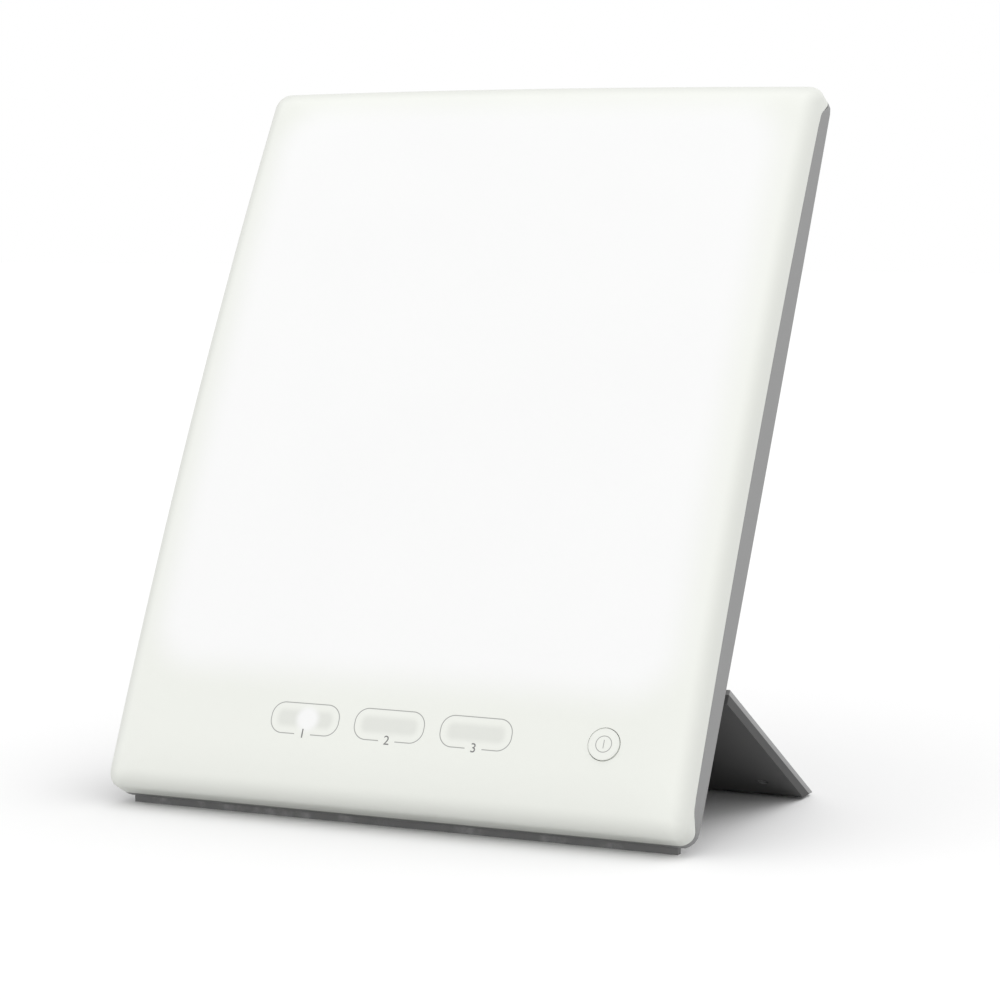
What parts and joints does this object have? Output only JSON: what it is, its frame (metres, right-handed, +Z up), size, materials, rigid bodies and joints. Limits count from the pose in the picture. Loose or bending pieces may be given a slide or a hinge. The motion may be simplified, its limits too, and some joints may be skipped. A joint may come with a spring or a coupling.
{
  "type": "light therapy lamp",
  "caption": "Leaning tablet-shaped light therapy lamp with a softly rounded opal front, a grey back, a round push button and a hinged plate stand.",
  "frame": {"origin": "centre of the footprint of the standing lamp with its stand open, on the surface it stands on", "axes": "+Z up, the lit face looks along -Y and leans back towards +Y, +X to the right of the lit face as seen from the front"},
  "size_m": [0.2708, 0.1712, 0.3104],
  "materials": {
    "front_shell": "fine satin, opal white",
    "rear_shell": "fine spark-eroded texture, mid grey",
    "stand_skin": "fine texture, light grey",
    "stand_tray": "fine texture, dark grey",
    "steel_screws": "zinc plated",
    "washer_steel": "satin",
    "board_core": "white mask over aluminium",
    "lamp_package": "phosphor window in white package",
    "tray_white": "bright white reflector",
    "diffuser": "opal sheet",
    "board_green": "green solder mask",
    "component_black": "moulded black",
    "capacitor_can": "sleeved can",
    "lead_red": "insulated wire",
    "indicator": "clear package",
    "clear_guide": "clear acrylic",
    "button_white": "fine satin, white",
    "plunger_black": "moulded black",
    "inlet_black": "moulded black",
    "contact_brass": "nickelled pin",
    "nut_steel": "plated",
    "rubber_dark": "soft matt rubber",
    "label_silver": "blank printed label stock"
  },
  "bodies": {
    "lamp": {"front_cover": "front_shell", "rear_cover": "rear_shell", "case_screws": "steel_screws", "board_screws": "steel_screws", "hinge_pin_left": "steel_screws", "hinge_pin_right": "steel_screws", "hinge_washers": "washer_steel", "led_board": "board_core", "leds": "lamp_package", "light_frame": "tray_white", "diffuser_sheet": "diffuser", "control_board": "board_green", "driver_board": "board_green", "driver_chips": "component_black", "switch_body": "component_black", "driver_coil": "component_black", "driver_capacitors": "capacitor_can", "led_leads": "lead_red", "board_leads": "lead_red", "indicator_lamps": "indicator", "indicator_guides": "clear_guide", "power_inlet": "inlet_black", "inlet_pin": "contact_brass", "inlet_nut": "nut_steel", "foot_strip": "rubber_dark", "back_bumpers": "rubber_dark", "rating_label": "label_silver"},
    "stand": {"stand_plate": "stand_skin", "stand_cover": "stand_tray", "stand_foot": "rubber_dark", "stand_screws": "steel_screws"},
    "button": {"power_button": "button_white", "switch_plunger": "plunger_black"}
  },
  "joints": [
    {"name": "stand_fold", "type": "hinge", "parent": "lamp", "child": "stand", "pos_m": [0, -0.03655, 0.05863], "axis": [1, 0, 0], "range_deg": [0, 93]},
    {"name": "button_press", "type": "slide", "parent": "lamp", "child": "button", "axis": [0, 0.887, -0.4617], "range_m": [0, 0.0005], "stiffness_N_per_m": 2500, "springref_m": -0.0002}
  ]
}
